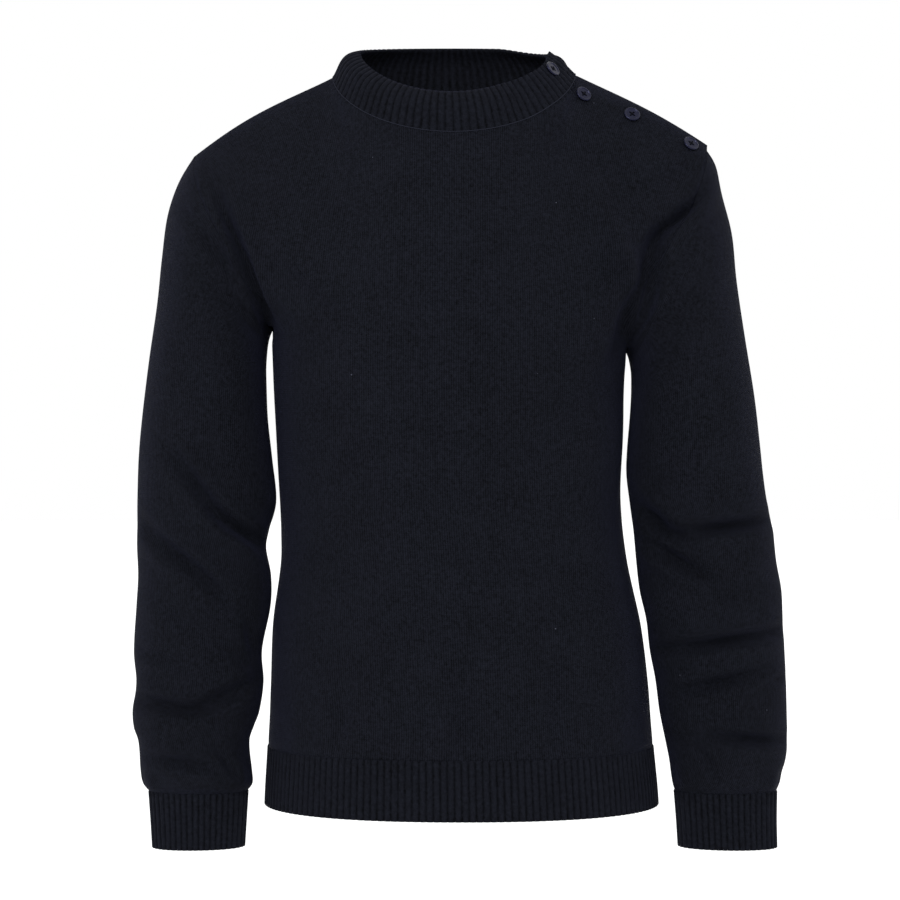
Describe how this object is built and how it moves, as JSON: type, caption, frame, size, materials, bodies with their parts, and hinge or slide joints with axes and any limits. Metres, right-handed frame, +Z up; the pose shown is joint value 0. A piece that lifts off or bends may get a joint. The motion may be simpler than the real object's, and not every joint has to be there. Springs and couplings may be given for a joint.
{
  "type": "breton sweater in its worn shape",
  "caption": "Heavy knitted sweater with a ribbed standing collar, ribbed hem and cuffs, and a buttoned lap along the left shoulder, in its worn shape with open neck, hem and cuffs.",
  "frame": {"origin": "the middle of the neck's base, level with the shoulder ends of the neck seam, where the wearer's neck and shoulders hold the garment", "axes": "+Z up along the wearer, +X towards the wearer's left, -Y towards the front"},
  "size_m": [0.5946, 0.2578, 0.7411],
  "materials": {
    "navy_knit": "very dark navy wool jersey, fine vertical wales, matt with a faint bluish nap",
    "navy_rib": "very dark navy wool rib with raised ribs, matt with a faint bluish nap",
    "navy_button": "glossy very dark navy buttons with a rim and four holes"
  },
  "bodies": {
    "root": {"front_panel": "navy_knit", "back_panel": "navy_knit", "right_sleeve": "navy_knit", "left_sleeve": "navy_knit", "button_stand": "navy_knit", "right_cuff": "navy_rib", "left_cuff": "navy_rib", "front_hem_rib": "navy_rib", "back_hem_rib": "navy_rib", "collar": "navy_rib", "button_1": "navy_button", "button_2": "navy_button", "button_3": "navy_button", "button_4": "navy_button"}
  },
  "joints": []
}
